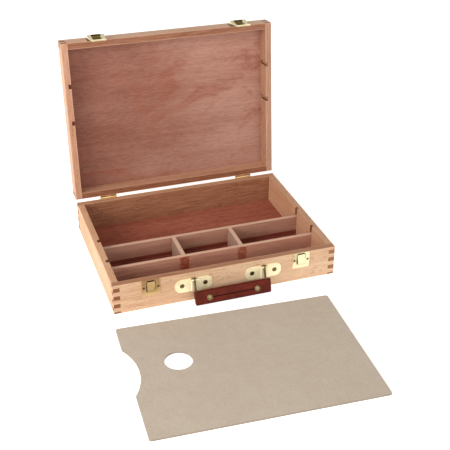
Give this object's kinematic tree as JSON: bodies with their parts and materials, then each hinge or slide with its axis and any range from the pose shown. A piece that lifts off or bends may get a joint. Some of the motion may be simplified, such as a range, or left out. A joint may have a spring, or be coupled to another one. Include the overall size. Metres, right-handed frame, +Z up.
{
  "type": "art supply box",
  "caption": "Open wooden sketch box with finger-jointed walls, divided base, hinged lid with hasp latches, leather carrying handle and a loose palette with thumb hole.",
  "frame": {"origin": "centre of the base's underside, on the floor", "axes": "+Z up, +X to the box's right seen from the front, -Y towards the front with the handle and latches"},
  "size_m": [0.4222, 0.6948, 0.3696],
  "materials": {
    "beech": "fine sanded",
    "plywood": "fine sanded veneer",
    "divider_wood": "sanded",
    "palette_wood": "matte",
    "brass": "polished",
    "screw_brass": "dulled",
    "dark_wire": "darkened",
    "antique_brass": "antique",
    "leather": "smooth"
  },
  "bodies": {
    "base": {"base_front_wall": "beech", "base_rear_wall": "beech", "base_left_wall": "beech", "base_right_wall": "beech", "base_panel": "plywood", "left_latch_keeper": "brass", "left_handle_plate": "brass", "left_hinge_base_leaf": "brass", "left_hinge_pin": "brass", "right_latch_keeper": "brass", "right_handle_plate": "brass", "right_hinge_base_leaf": "brass", "right_hinge_pin": "brass", "keeper_screws": "screw_brass", "handle_plate_screws": "screw_brass", "hinge_base_screws": "screw_brass"},
    "insert": {"front_long_divider": "divider_wood", "rear_long_divider": "divider_wood", "left_cross_divider": "divider_wood", "right_cross_divider": "divider_wood"},
    "lid": {"lid_front_rail": "beech", "lid_rear_rail": "beech", "lid_left_rail": "beech", "lid_right_rail": "beech", "lid_panel": "plywood", "left_hinge_lid_leaf": "brass", "left_latch_plate": "brass", "left_hasp_pin": "brass", "right_hinge_lid_leaf": "brass", "right_latch_plate": "brass", "right_hasp_pin": "brass", "hinge_lid_screws": "screw_brass", "latch_plate_screws": "screw_brass"},
    "left_hasp": {"left_hasp": "brass"},
    "right_hasp": {"right_hasp": "brass"},
    "handle": {"handle_strap": "leather", "handle_rivets": "antique_brass", "left_handle_link": "dark_wire", "right_handle_link": "dark_wire"},
    "palette": {"palette": "palette_wood"}
  },
  "joints": [
    {"name": "lid_hinge", "type": "hinge", "parent": "base", "child": "lid", "pos_m": [0, 0.1537, 0.0562], "axis": [-1, 0, 0], "range_deg": [-95.7, 0]},
    {"name": "left_hasp_swing", "type": "hinge", "parent": "lid", "child": "left_hasp", "pos_m": [-0.1355, 0.19264, 0.36375], "axis": [-1, 0, 0], "range_deg": [-3.5, 110]},
    {"name": "right_hasp_swing", "type": "hinge", "parent": "lid", "child": "right_hasp", "pos_m": [0.1355, 0.19264, 0.36375], "axis": [-1, 0, 0], "range_deg": [-3.5, 110]},
    {"name": "handle_swing", "type": "hinge", "parent": "base", "child": "handle", "pos_m": [0, -0.1554, 0.0431], "axis": [-1, 0, 0], "range_deg": [0, 135]},
    {"name": "insert_lift", "type": "slide", "parent": "base", "child": "insert", "axis": [0, 0, 1], "range_m": [0, 0.044]},
    {"name": "palette_lift", "type": "slide", "parent": "base", "child": "palette", "axis": [0, 0, 1], "range_m": [0, 0.12]}
  ]
}
